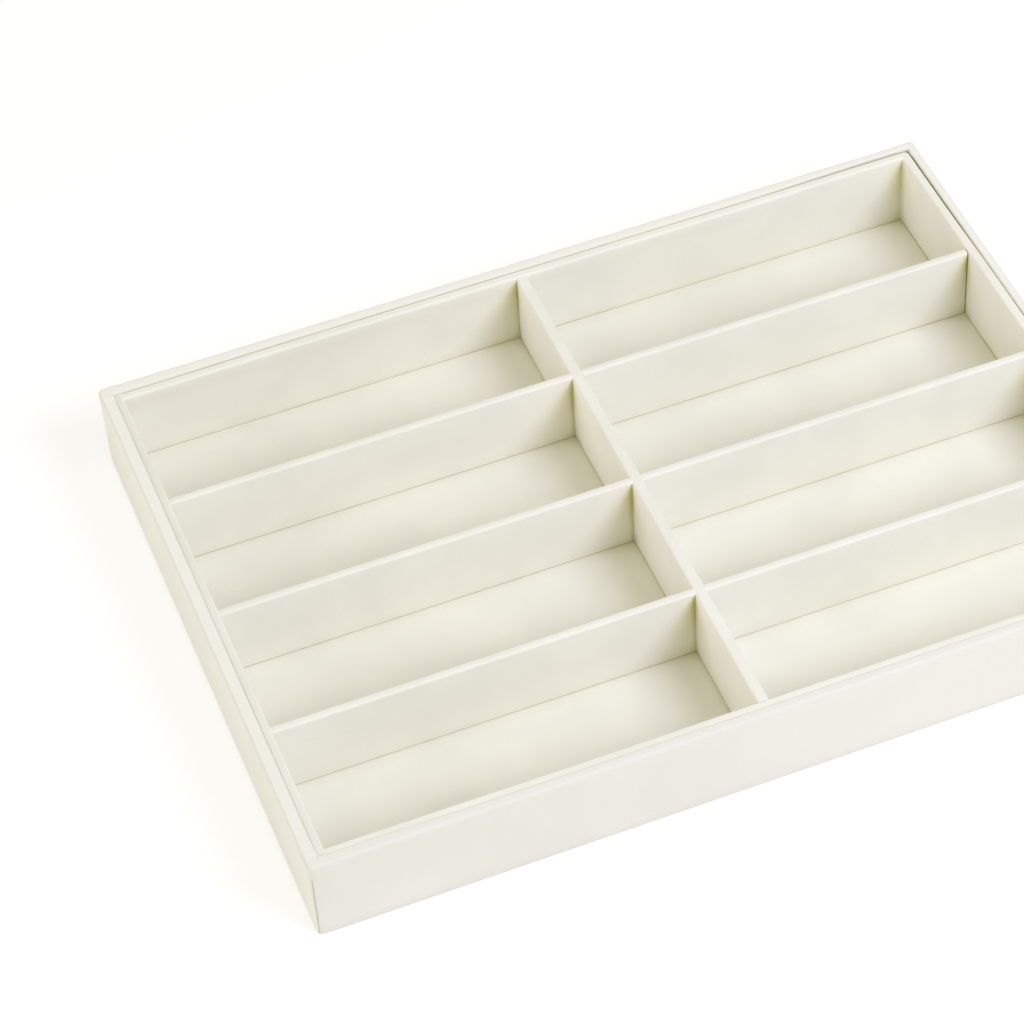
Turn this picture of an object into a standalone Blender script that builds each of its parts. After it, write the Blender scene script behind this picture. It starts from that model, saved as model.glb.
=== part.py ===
"""Sunglasses organizer tray.

A shallow board shell covered in leatherette, a lined insert that drops into it, and a
divider grid that drops into the insert and makes eight bays.  Metres, +Z up.  The origin
is on the surface that the tray stands on, under its middle: +X runs along the long side
and +Y towards the back.
"""

import math

import bmesh
import bpy

# Overall size of the tray
TRAY_LENGTH = 0.360
TRAY_DEPTH = 0.262
TRAY_HEIGHT = 0.040

# Room left for glue between a board and the sheet over it, and between stacked pieces
GLUE_GAP = 0.0003

# Shell: boards, the leatherette over them and the sheet under the base
LEATHERETTE = 0.0004
WALL_BOARD = 0.0019
BASE_BOARD = 0.0015
BASE_SHEET = 0.0003
BASE_SHEET_INSET = 0.004
BASE_SHEET_CORNER = 0.003
TURN_UNDER = 0.012
TURN_IN = 0.012
RIM_RADIUS = 0.0012
FOOT_RADIUS = 0.0010

# Insert: how loosely and how deep it sits in the shell, and what it is made of
INSERT_GROOVE = 0.0012
INSERT_DROP = 0.0008
LINING = 0.0004
LINER_BOARD = 0.0016
FLOOR_CARD = 0.0006
FLOOR_CORNER = 0.001
LINER_TURN_DOWN = 0.012
LINER_RADIUS = 0.0010

# Divider grid: its boards, and how loosely and how deep it sits in the insert
ROWS = 4
CENTRE_BOARD = 0.0034
CROSS_BOARD = 0.0020
GRID_DROP = 0.0010
GRID_END_GAP = 0.0005
SLOT_CLEARANCE = 0.0003
CENTRE_RADIUS = 0.0014
CROSS_RADIUS = 0.0012

# Fineness of round edges, where shading breaks, and how far a cutter stands out of its cut
ARC_STEPS = 4
SMOOTH_ANGLE = math.radians(35)
CUTTER_MARGIN = 0.002

# Widths that follow from the boards and the sheets on both of their faces
WALL = WALL_BOARD + 2 * (LEATHERETTE + GLUE_GAP)
LINER = LINER_BOARD + 2 * (LINING + GLUE_GAP)
CENTRE_WIDTH = CENTRE_BOARD + 2 * (LINING + GLUE_GAP)
CROSS_WIDTH = CROSS_BOARD + 2 * (LINING + GLUE_GAP)

# Heights, from the standing surface up
WRAP_BOTTOM = BASE_SHEET + GLUE_GAP
BASE_BOTTOM = WRAP_BOTTOM + LEATHERETTE + GLUE_GAP
BASE_TOP = BASE_BOTTOM + BASE_BOARD
WALL_BOTTOM = BASE_TOP + GLUE_GAP
WALL_TOP = TRAY_HEIGHT - LEATHERETTE - GLUE_GAP
CARD_BOTTOM = BASE_TOP + GLUE_GAP
CARD_TOP = CARD_BOTTOM + FLOOR_CARD
LINER_BOTTOM = CARD_TOP + GLUE_GAP
LINER_TOP = TRAY_HEIGHT - INSERT_DROP
LINER_BOARD_TOP = LINER_TOP - LINING - GLUE_GAP
FLOOR_TOP = LINER_BOTTOM + LINING
GRID_BOTTOM = FLOOR_TOP + GLUE_GAP
GRID_TOP = LINER_TOP - GRID_DROP
LAP_HEIGHT = (GRID_BOTTOM + GRID_TOP) / 2

# Half sizes of the rectangles that the pieces stand on, in plan
SHELL_HALF = (TRAY_LENGTH / 2, TRAY_DEPTH / 2)
INSERT_HALF = tuple(half - WALL - INSERT_GROOVE for half in SHELL_HALF)
WELL_HALF = tuple(half - LINER for half in INSERT_HALF)
GRID_HALF = tuple(half - GRID_END_GAP for half in WELL_HALF)

# Where the cross dividers stand: equal bays from the front to the back of the well
BAY_DEPTH = (2 * WELL_HALF[1] - (ROWS - 1) * CROSS_WIDTH) / ROWS
CROSS_PLACES = [
    -WELL_HALF[1] + row * (BAY_DEPTH + CROSS_WIDTH) - CROSS_WIDTH / 2
    for row in range(1, ROWS)
]

# The four sides of a rectangle, each a quarter turn on from the one before
SIDES = ("front", "right", "back", "left")
QUARTER_TURN = math.radians(90)


def clear_scene():
    """Remove every object that the file starts with."""
    for obj in list(bpy.data.objects):
        bpy.data.objects.remove(obj, do_unlink=True)


def make_material(name, colour, roughness):
    """A plain finish of one colour and roughness."""
    material = bpy.data.materials.new(name)
    material.use_nodes = True
    shader = material.node_tree.nodes["Principled BSDF"]
    shader.inputs["Base Color"].default_value = (*colour, 1.0)
    shader.inputs["Roughness"].default_value = roughness
    shader.inputs["Metallic"].default_value = 0.0
    material.diffuse_color = (*colour, 1.0)
    return material


def make_finishes():
    """The tray's finishes, by the name of the stuff they stand for."""
    return {
        "leatherette": make_material("leatherette", (0.84, 0.84, 0.76), 0.58),
        "lining": make_material("lining", (0.89, 0.88, 0.80), 0.92),
        "greyboard": make_material("greyboard", (0.36, 0.33, 0.28), 0.90),
        "card": make_material("card", (0.62, 0.58, 0.50), 0.90),
        "base_sheet": make_material("base_sheet", (0.70, 0.66, 0.56), 0.85),
    }


def make_carrier(name, parent):
    """An empty that the pieces of one loose part hang from."""
    carrier = bpy.data.objects.new(name, None)
    bpy.context.collection.objects.link(carrier)
    carrier.parent = parent
    return carrier


def add_object(name, shape, material, parent):
    """Turn a finished bmesh into a named object with its finish."""
    bmesh.ops.recalc_face_normals(shape, faces=shape.faces)
    mesh = bpy.data.meshes.new(name)
    shape.to_mesh(mesh)
    shape.free()
    mesh.shade_smooth()
    mesh.set_sharp_from_angle(angle=SMOOTH_ANGLE)
    if material:
        mesh.materials.append(material)
    obj = bpy.data.objects.new(name, mesh)
    bpy.context.collection.objects.link(obj)
    obj.parent = parent
    return obj


def join_outlines(near, far):
    """A closed shape between two outlines with matching points."""
    shape = bmesh.new()
    near_verts = [shape.verts.new(point) for point in near]
    far_verts = [shape.verts.new(point) for point in far]
    count = len(near)
    shape.faces.new(near_verts)
    shape.faces.new(list(reversed(far_verts)))
    for start in range(count):
        end = (start + 1) % count
        shape.faces.new((near_verts[end], near_verts[start], far_verts[start], far_verts[end]))
    return shape


def fillet(before, corner, after, radius):
    """The points of a round corner, or the corner itself where the radius is nothing."""
    if radius <= 0:
        return [corner]
    into = [math.copysign(1, c - b) if abs(c - b) > 1e-9 else 0 for b, c in zip(before, corner)]
    out = [math.copysign(1, a - c) if abs(a - c) > 1e-9 else 0 for c, a in zip(corner, after)]
    centre = [c - radius * i + radius * o for c, i, o in zip(corner, into, out)]
    points = []
    for step in range(ARC_STEPS + 1):
        angle = math.pi / 2 * step / ARC_STEPS
        points.append(tuple(
            centre[k] - radius * math.cos(angle) * out[k] + radius * math.sin(angle) * into[k]
            for k in range(2)
        ))
    return points


def rounded_path(corners, radii):
    """A path of straight, square-cornered runs with each inner corner rounded."""
    points = [corners[0]]
    for place in range(1, len(corners) - 1):
        points += fillet(corners[place - 1], corners[place], corners[place + 1], radii[place - 1])
    points.append(corners[-1])
    return points


def shift_right(corners, distance):
    """The same square-cornered path, moved to its right by a distance."""
    normals = []
    for start, end in zip(corners, corners[1:]):
        length = math.dist(start, end)
        normals.append(((end[1] - start[1]) / length, -(end[0] - start[0]) / length))
    moved = []
    for place, corner in enumerate(corners):
        beside = normals[max(place - 1, 0):place + 1]
        if place == 0 or place == len(corners) - 1:
            beside = beside[:1]
        moved.append(tuple(corner[k] + distance * sum(n[k] for n in beside) for k in range(2)))
    return moved


def sheet_profile(corners, radii, thickness):
    """The cross section of a sheet folded along a path, with the board on its right."""
    inner_radii = [radius - thickness for radius in radii]
    outside = rounded_path(corners, radii)
    inside = rounded_path(shift_right(corners, thickness), inner_radii)
    return outside + inside[::-1]


def board_profile(near, far, bottom, top, radius):
    """The cross section of a flat board that stands on edge, with its top edges eased."""
    corners = [(near, bottom), (near, top), (far, top), (far, bottom)]
    return rounded_path(corners, (radius, radius))


def mitred_strip(name, side, half_sizes, profile, material, parent):
    """A strip along one side of a rectangle, with both ends cut on the corner's mitre.

    The profile's points are (distance inward from the rectangle's edge, height).
    """
    half_run, half_across = half_sizes if side in ("front", "back") else half_sizes[::-1]
    cut_back = GLUE_GAP / math.sqrt(2)
    near = [(-(half_run - inward - cut_back), inward - half_across, z) for inward, z in profile]
    far = [(-x, y, z) for x, y, z in near]
    obj = add_object(name, join_outlines(near, far), material, parent)
    obj.rotation_euler = (0, 0, SIDES.index(side) * QUARTER_TURN)
    return obj


def make_plate(name, half_sizes, corner_radius, bottom, top, material, parent):
    """A flat sheet with its four corners rounded in plan."""
    half_x, half_y = half_sizes
    loop = [(-half_x, -half_y), (half_x, -half_y), (half_x, half_y), (-half_x, half_y)]
    outline = []
    for place, corner in enumerate(loop):
        outline += fillet(loop[place - 1], corner, loop[(place + 1) % 4], corner_radius)
    low = [(x, y, bottom) for x, y in outline]
    high = [(x, y, top) for x, y in outline]
    return add_object(name, join_outlines(low, high), material, parent)


def box_shape(low, high):
    """A plain box between two corners."""
    (x0, y0, z0), (x1, y1, z1) = low, high
    loop = [(x0, y0), (x1, y0), (x1, y1), (x0, y1)]
    return join_outlines([(x, y, z0) for x, y in loop], [(x, y, z1) for x, y in loop])


def soft_box_shape(low, high, radius):
    """A box with its top and standing edges rounded, and its bottom edges left sharp."""
    shape = box_shape(low, high)
    if radius > 0:
        level = low[2]
        soft = [edge for edge in shape.edges if any(v.co.z > level + 1e-6 for v in edge.verts)]
        bmesh.ops.bevel(shape, geom=soft, offset=radius, offset_type="OFFSET",
                        segments=ARC_STEPS, profile=0.5, affect="EDGES")
    return shape


def cut_out(target, label, cutter_shape):
    """Cut a slot or pocket out of an object."""
    cutter = add_object(f"{target.name}_{label}_cutter", cutter_shape, None, target.parent)
    cutter.hide_render = True
    cutter.display_type = "WIRE"
    cut = target.modifiers.new(label, "BOOLEAN")
    cut.operation = "DIFFERENCE"
    cut.solver = "EXACT"
    cut.object = cutter


def make_shell(finishes, parent):
    """The outer box: a base, four walls, the leatherette over them and the base sheet."""
    inside_skin = LEATHERETTE + GLUE_GAP
    base_half = tuple(half - inside_skin for half in SHELL_HALF)
    sheet_half = tuple(half - BASE_SHEET_INSET for half in SHELL_HALF)
    make_plate("base_sheet", sheet_half, BASE_SHEET_CORNER, 0, BASE_SHEET,
               finishes["base_sheet"], parent)
    make_plate("base_board", base_half, 0, BASE_BOTTOM, BASE_TOP, finishes["greyboard"], parent)

    board = board_profile(inside_skin, inside_skin + WALL_BOARD, WALL_BOTTOM, WALL_TOP,
                          RIM_RADIUS - inside_skin)
    wrap_corners = [
        (TURN_UNDER, WRAP_BOTTOM),
        (0, WRAP_BOTTOM),
        (0, TRAY_HEIGHT),
        (WALL, TRAY_HEIGHT),
        (WALL, TRAY_HEIGHT - TURN_IN),
    ]
    wrap = sheet_profile(wrap_corners, (FOOT_RADIUS, RIM_RADIUS, RIM_RADIUS), LEATHERETTE)
    for side in SIDES:
        mitred_strip(f"wall_board_{side}", side, SHELL_HALF, board, finishes["greyboard"], parent)
        mitred_strip(f"wrap_{side}", side, SHELL_HALF, wrap, finishes["leatherette"], parent)


def make_insert(finishes, parent):
    """The lined insert: a floor card with its lining, and four lined boards round it."""
    floor_half = tuple(half - GLUE_GAP for half in WELL_HALF)
    make_plate("floor_card", INSERT_HALF, FLOOR_CORNER, CARD_BOTTOM, CARD_TOP,
               finishes["card"], parent)
    make_plate("floor_lining", floor_half, FLOOR_CORNER, LINER_BOTTOM, FLOOR_TOP,
               finishes["lining"], parent)

    inside_lining = LINING + GLUE_GAP
    board = board_profile(inside_lining, inside_lining + LINER_BOARD, LINER_BOTTOM,
                          LINER_BOARD_TOP, LINER_RADIUS - inside_lining)
    cover_corners = [
        (0, LINER_TOP - LINER_TURN_DOWN),
        (0, LINER_TOP),
        (LINER, LINER_TOP),
        (LINER, LINER_BOTTOM),
    ]
    cover = sheet_profile(cover_corners, (LINER_RADIUS, LINER_RADIUS), LINING)
    for side in SIDES:
        mitred_strip(f"liner_board_{side}", side, INSERT_HALF, board, finishes["card"], parent)
        mitred_strip(f"liner_cover_{side}", side, INSERT_HALF, cover, finishes["lining"], parent)


def divider_corners(centre, half_run, half_width, bottom, top, along_x):
    """The low and high corners of a divider that stands on the insert's floor."""
    half_x, half_y = (half_run, half_width) if along_x else (half_width, half_run)
    x, y = centre
    return (x - half_x, y - half_y, bottom), (x + half_x, y + half_y, top)


def divider_shape(centre, half_sizes, inset, radius, bottom, along_x):
    """A divider's outside moved inward by an inset, standing on the given height."""
    half_run, half_width = (half - inset for half in half_sizes)
    low, high = divider_corners(centre, half_run, half_width, bottom, GRID_TOP - inset, along_x)
    return soft_box_shape(low, high, radius - inset)


def make_divider(name, centre, half_sizes, radius, along_x, finishes, parent):
    """A divider's board, and the lining drawn over it as a soft-edged sleeve, open below."""
    inside = LINING + GLUE_GAP
    sleeve = add_object(f"{name}_cover",
                        divider_shape(centre, half_sizes, 0, radius, GRID_BOTTOM, along_x),
                        finishes["lining"], parent)
    cut_out(sleeve, "pocket", divider_shape(centre, half_sizes, LINING, radius,
                                            GRID_BOTTOM - CUTTER_MARGIN, along_x))
    board = add_object(f"{name}_board",
                       divider_shape(centre, half_sizes, inside, radius, GRID_BOTTOM, along_x),
                       finishes["greyboard"], parent)
    return sleeve, board


def cut_lap(target, label, centre, half_x, half_y, from_below):
    """Cut half of a lap joint out of a divider, from below or from above."""
    half_gap = GLUE_GAP / 2
    bottom = GRID_BOTTOM - CUTTER_MARGIN if from_below else LAP_HEIGHT - half_gap
    top = LAP_HEIGHT + half_gap if from_below else GRID_TOP + CUTTER_MARGIN
    x, y = centre
    slot = box_shape((x - half_x, y - half_y, bottom), (x + half_x, y + half_y, top))
    cut_out(target, label, slot)


def make_grid(finishes, parent):
    """One long divider and the cross dividers, lapped half and half where they cross."""
    centre_half = CENTRE_WIDTH / 2
    cross_half = CROSS_WIDTH / 2
    long_pieces = make_divider("centre_divider", (0, 0), (GRID_HALF[1], centre_half),
                               CENTRE_RADIUS, False, finishes, parent)
    for number, place in enumerate(reversed(CROSS_PLACES), start=1):
        spot = (0, place)
        cross_pieces = make_divider(f"cross_divider_{number}", spot, (GRID_HALF[0], cross_half),
                                    CROSS_RADIUS, True, finishes, parent)
        for piece, recess in zip(cross_pieces, (0, GLUE_GAP)):
            cut_lap(piece, "lap", spot, centre_half + SLOT_CLEARANCE + recess,
                    cross_half + CUTTER_MARGIN, from_below=False)
        for piece, recess in zip(long_pieces, (0, GLUE_GAP)):
            cut_lap(piece, f"lap_{number}", spot, centre_half + CUTTER_MARGIN,
                    cross_half + SLOT_CLEARANCE + recess, from_below=True)


def main():
    """Build the tray: shell, insert and grid, each on its own carrier."""
    clear_scene()
    finishes = make_finishes()
    shell = make_carrier("shell_carrier", None)
    insert = make_carrier("insert_carrier", shell)
    grid = make_carrier("grid_carrier", insert)
    make_shell(finishes, shell)
    make_insert(finishes, insert)
    make_grid(finishes, grid)


main()
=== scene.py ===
# %% [markdown]
# Sunglasses organizer tray.  The real tray is a shallow box of stiff board covered in cream
# leatherette.  A second, lined tray sits inside it, and soft dividers make eight bays.
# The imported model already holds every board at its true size, so this lesson keeps the
# boards and makes the sheets that cover them, because those are what the eye sees.

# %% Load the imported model
import math

import bmesh
import bpy
import numpy as np
from mathutils import Matrix, Quaternion, Vector, noise


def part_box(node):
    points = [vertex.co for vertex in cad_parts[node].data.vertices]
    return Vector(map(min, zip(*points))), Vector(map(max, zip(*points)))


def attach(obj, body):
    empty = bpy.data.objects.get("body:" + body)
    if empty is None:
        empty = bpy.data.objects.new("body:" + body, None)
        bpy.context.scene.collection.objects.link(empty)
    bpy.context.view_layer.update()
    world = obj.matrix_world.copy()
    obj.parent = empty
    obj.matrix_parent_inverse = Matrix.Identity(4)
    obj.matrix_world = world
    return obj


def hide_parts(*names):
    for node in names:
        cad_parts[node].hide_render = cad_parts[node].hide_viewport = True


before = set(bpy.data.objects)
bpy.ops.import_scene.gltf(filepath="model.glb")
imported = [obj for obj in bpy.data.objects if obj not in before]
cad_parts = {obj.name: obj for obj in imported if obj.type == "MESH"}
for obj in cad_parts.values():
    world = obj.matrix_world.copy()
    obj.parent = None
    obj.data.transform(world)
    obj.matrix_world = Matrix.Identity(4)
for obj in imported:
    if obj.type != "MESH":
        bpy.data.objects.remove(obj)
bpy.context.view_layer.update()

MM = 0.001
HAIR = 0.01 * MM

# %% [markdown]
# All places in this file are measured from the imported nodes, so that the sheets still fit
# if the tray is made longer or deeper.  The two trays are each described by the half sizes
# of the rectangle that they stand on and by their heights, and the dividers by their boxes.

# %% Measure the tray
def corners_of(node):
    """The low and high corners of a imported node."""
    return [np.array(corner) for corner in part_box(node)]


wrap_low, wrap_high = corners_of("wrap_front")
side_wrap_low = corners_of("wrap_left")[0]
wall_low, wall_high = corners_of("wall_board_front")
cover_low, cover_high = corners_of("liner_cover_front")
side_cover_low = corners_of("liner_cover_left")[0]
lining_low, lining_high = corners_of("floor_lining")

SHELL_HALF = np.array([-side_wrap_low[0], -wrap_low[1]])
SHELL_TOP = wrap_high[2]
SHELL_FOOT = wrap_low[2]
SKIN = wall_low[1] - wrap_low[1]
WALL = wall_high[1] - wall_low[1] + 2 * SKIN
INSERT_HALF = np.array([-side_cover_low[0], -cover_low[1]])
LINER = cover_high[1] - cover_low[1]
LINER_TOP = cover_high[2]
LINER_FOOT = cover_low[2]
FLOOR_TOP = lining_high[2]
centre_low, centre_high = corners_of("centre_divider_cover")
print("shell half sizes:", SHELL_HALF / MM, "wall:", round(WALL / MM, 2))
print("insert half sizes:", INSERT_HALF / MM, "liner:", round(LINER / MM, 2))

# %% [markdown]
# The picture is taken from the front left and well above the tray, through a long lens, so
# the far edge is only a little shorter than the near one.  The camera is set by where it
# stands, the point that it looks at and a small roll, and never by a shifted lens.

# %% Set the camera
CAMERA_PLACE = Vector((-0.3419, -0.9028, 1.0734))
CAMERA_TARGET = Vector((-0.0457, 0.0188, 0.0200))
CAMERA_ROLL = math.radians(-4.49)
LENS_MM = 127.76
SENSOR_MM = 36


def put_in_scene(name, data):
    """A new object in the scene, for a mesh, a lamp or a camera."""
    obj = bpy.data.objects.new(name, data)
    bpy.context.scene.collection.objects.link(obj)
    return obj


def stand_at(name, data, place, target, roll=0.0):
    """A camera or a lamp at a place, turned to its target and rolled about that line."""
    obj = put_in_scene(name, data)
    obj.location = place
    obj.rotation_mode = "QUATERNION"
    looking = (target - place).to_track_quat("-Z", "Y")
    obj.rotation_quaternion = looking @ Quaternion((0, 0, 1), roll)
    return obj


camera_data = bpy.data.cameras.new("camera")
camera_data.lens = LENS_MM
camera_data.sensor_width = SENSOR_MM
bpy.context.scene.camera = stand_at("camera", camera_data, CAMERA_PLACE, CAMERA_TARGET,
                                    CAMERA_ROLL)
bpy.context.scene.view_settings.view_transform = "Standard"
print("camera is", round((CAMERA_TARGET - CAMERA_PLACE).length, 3), "m from its target")

# %% [markdown]
# A white sheet under soft light is how such a tray is photographed for a shop.  The light
# from all round is a little warm.  A large cool lamp on the front right shades the bays'
# right ends, and a weak low one on the left keeps the faces that look left from going dull.

# %% Light the tray
FILL_COLOUR = (1.0, 0.94, 0.71)
FILL_STRENGTH = 0.588
LAMP_DISTANCE = 1.8
LAMP_SIZE = 0.9
LAMPS = {
    # name: turned from the front towards the right, height, how much it lights, colour
    "key_lamp": (35, 45, 0.67, (0.71, 0.745, 1.0)),
    "left_lamp": (-90, 14, 0.27, (0.97, 0.95, 1.12)),
}


def add_node(tree, kind, place=(0, 0), **settings):
    """A shader node with its settings; in0, in1 and so on are what goes into its sockets."""
    node = tree.nodes.new(kind)
    node.location = place
    for key, value in settings.items():
        if not (key.startswith("in") and key[2:].isdigit()):
            setattr(node, key, value)
            continue
        socket = node.inputs[int(key[2:])]
        if isinstance(value, bpy.types.NodeSocket):
            tree.links.new(value, socket)
        else:
            socket.default_value = (*value, 1) if socket.type == "RGBA" else value
    return node


def seen_by_camera(tree):
    """One for what the camera sees straight, in a mirror or through glass; else nothing."""
    path = add_node(tree, "ShaderNodeLightPath").outputs
    either = add_node(tree, "ShaderNodeMath", operation="MAXIMUM",
                      in0=path["Is Camera Ray"], in1=path["Is Glossy Ray"])
    any_of = add_node(tree, "ShaderNodeMath", operation="MAXIMUM",
                      in0=either.outputs[0], in1=path["Is Transmission Ray"])
    return any_of.outputs[0]


world = bpy.data.worlds.new("studio")
world.use_nodes = True
sky = world.node_tree
sky.nodes.clear()
fill = add_node(sky, "ShaderNodeBackground", in0=FILL_COLOUR, in1=FILL_STRENGTH)
backdrop = add_node(sky, "ShaderNodeBackground", in0=(1, 1, 1), in1=1.0)
choice = add_node(sky, "ShaderNodeMixShader", in0=seen_by_camera(sky), in1=fill.outputs[0],
                  in2=backdrop.outputs[0])
add_node(sky, "ShaderNodeOutputWorld", in0=choice.outputs[0])
bpy.context.scene.world = world

for name, (round_by, up_by, level, colour) in LAMPS.items():
    round_by, up_by = math.radians(round_by), math.radians(up_by)
    place = LAMP_DISTANCE * Vector((math.cos(up_by) * math.sin(round_by),
                                    -math.cos(up_by) * math.cos(round_by), math.sin(up_by)))
    lamp_data = bpy.data.lights.new(name, "AREA")
    lamp_data.shape = "DISK"
    lamp_data.size = LAMP_SIZE
    lamp_data.energy = level * (math.pi * LAMP_DISTANCE) ** 2
    lamp_data.color = colour
    stand_at(name, lamp_data, place, Vector((0, 0, 0)))
    print(name, "gives", round(lamp_data.energy, 1), "W")

# %% [markdown]
# The tray stands on a wide sheet of paper.  The sheet glows a little for the camera alone,
# so that it looks white without throwing more light on the tray, and the tray's own shadow
# still falls on it.

# %% Lay the studio floor
FLOOR_HALF = 4.0
FLOOR_DROP = 0.05 * MM
FLOOR_WHITE = 0.86
FLOOR_SHADE = 0.42
FLOOR_GLOW = 0.66

floor_mesh = bpy.data.meshes.new("studio_floor")
floor_mesh.from_pydata([(x * FLOOR_HALF, y * FLOOR_HALF, -FLOOR_DROP)
                        for x, y in ((-1, -1), (1, -1), (1, 1), (-1, 1))], [], [(0, 1, 2, 3)])
studio_floor = put_in_scene("studio_floor", floor_mesh)
paper = bpy.data.materials.new("studio_paper")
paper.use_nodes = True
tree = paper.node_tree
tree.nodes.clear()
paper_sheet = add_node(tree, "ShaderNodeBsdfDiffuse", in0=[FLOOR_WHITE] * 3)
shadow_part = add_node(tree, "ShaderNodeBsdfDiffuse", in0=[FLOOR_SHADE] * 3)
glow_part = add_node(tree, "ShaderNodeEmission", in0=(1, 1, 1), in1=FLOOR_GLOW)
pictured = add_node(tree, "ShaderNodeAddShader", in0=shadow_part.outputs[0],
                    in1=glow_part.outputs[0])
by_ray = add_node(tree, "ShaderNodeMixShader", in0=seen_by_camera(tree),
                  in1=paper_sheet.outputs[0], in2=pictured.outputs[0])
add_node(tree, "ShaderNodeOutputMaterial", in0=by_ray.outputs[0])
floor_mesh.materials.append(paper)
print("studio floor", 2 * FLOOR_HALF, "m square")

# %% [markdown]
# Every finish here is made of a few layers of noise in the object's own coordinates, which
# are metres.  So a grain of 0.7 mm is 0.7 mm on every piece, large or small, and nothing
# has to be unwrapped.  These helpers start a finish, and lay noise and colour over it.

# %% Layers of noise and colour
CLOUD_RANGE = (0.3, 0.7)
WHITEST = 0.95


def start_finish(name, colour, roughness, **sockets):
    """A new material with its shader's constant values, and the object's coordinates."""
    material = bpy.data.materials.new(name)
    material.use_nodes = True
    material.diffuse_color = (*colour, 1)
    tree = material.node_tree
    shader = tree.nodes["Principled BSDF"]
    shader.inputs["Base Color"].default_value = (*colour, 1)
    shader.inputs["Roughness"].default_value = roughness
    for socket, value in sockets.items():
        shader.inputs[socket.replace("_", " ")].default_value = value
    place = add_node(tree, "ShaderNodeTexCoord", (-1400, 0)).outputs["Object"]
    return material, tree, shader, place


def noise_layer(tree, place, size, detail=3.0, stretch=None, offset=0.0):
    """Noise whose blotches are about this size in metres, from 0 to 1."""
    if stretch or offset:
        place = add_node(tree, "ShaderNodeMapping", (-1200, 0), in0=place, in1=[offset] * 3,
                         in3=stretch or (1, 1, 1)).outputs["Vector"]
    layer = add_node(tree, "ShaderNodeTexNoise", (-1000, 0), in0=place, in2=1 / size, in3=detail)
    return layer.outputs["Fac"]


def spread(tree, value, low, high, out_low=0.0, out_high=1.0):
    """The value stretched from one range to another, and held inside it."""
    ranged = add_node(tree, "ShaderNodeMapRange", (-800, 0), interpolation_type="SMOOTHSTEP",
                      in0=value, in1=low, in2=high, in3=out_low, in4=out_high)
    return ranged.outputs["Result"]


def blend(tree, share, first, second, how="MIX"):
    """The first colour where the share is nothing, and the second where it is one."""
    mix = add_node(tree, "ShaderNodeMix", (-500, 0), data_type="RGBA", blend_type=how,
                   in0=share, in6=first, in7=second)
    return mix.outputs[2]


def tint(tree, share, colour, stain):
    """A colour multiplied by a stain where the share is one, and left alone where it is none."""
    return blend(tree, share, colour, stain, "MULTIPLY")


def both(tree, first, second):
    """The product of two shares, which is one only where both are."""
    return add_node(tree, "ShaderNodeMath", (-600, 300), operation="MULTIPLY", in0=first,
                    in1=second).outputs[0]


def shade(colour, factor):
    """A colour made lighter or darker, and never brighter than white paper."""
    return tuple(min(channel * factor, WHITEST) for channel in colour)


def drift_colour(tree, clouds, colour, shades, ends=CLOUD_RANGE):
    """A colour that drifts between two shades of it, as a noise goes between its two ends."""
    return blend(tree, spread(tree, clouds, *ends), *[shade(colour, factor) for factor in shades])


# %% [markdown]
# Wear, dust and bounced light depend on where a point lies: how high it is, which way it
# faces, and how closed in it is by other faces.  The last helper turns a noise into relief.

# %% Places, hollows and relief
SEARCH_RAYS = 8


def part_along(tree, vector, axis):
    """The X, Y or Z part of a vector, which is in metres where the vector is a place."""
    return add_node(tree, "ShaderNodeSeparateXYZ", (-1200, 300), in0=vector).outputs[axis]


def facing(tree):
    """Which way the surface faces."""
    return add_node(tree, "ShaderNodeNewGeometry", (-1400, 500)).outputs["Normal"]


def open_around(tree, reach, lean=(0, 0, 0)):
    """How open it is around a point, from 0 to 1, looked for off the surface and leaning."""
    leaned = add_node(tree, "ShaderNodeVectorMath", (-1200, 500), operation="ADD",
                      in0=facing(tree), in1=lean)
    unit = add_node(tree, "ShaderNodeVectorMath", (-1000, 500), operation="NORMALIZE",
                    in0=leaned.outputs[0])
    search = add_node(tree, "ShaderNodeAmbientOcclusion", (-800, 500), samples=SEARCH_RAYS,
                      in1=reach, in2=unit.outputs[0])
    return search.outputs["AO"]


def closed_in(tree, openness, closed, opened):
    """One where it is as closed in as the first number says, and nothing from the second on."""
    return spread(tree, openness, closed, opened, 1.0, 0.0)


def add_bump(tree, shader, height, depth, strength=1.0, under=None):
    """Bump of a real depth in metres, over an earlier bump where there is one."""
    bump = add_node(tree, "ShaderNodeBump", (-200, -300), in0=strength, in1=depth, in3=height)
    if under:
        tree.links.new(under, bump.inputs["Normal"])
    tree.links.new(bump.outputs["Normal"], shader.inputs["Normal"])
    return bump.outputs["Normal"]
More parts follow.
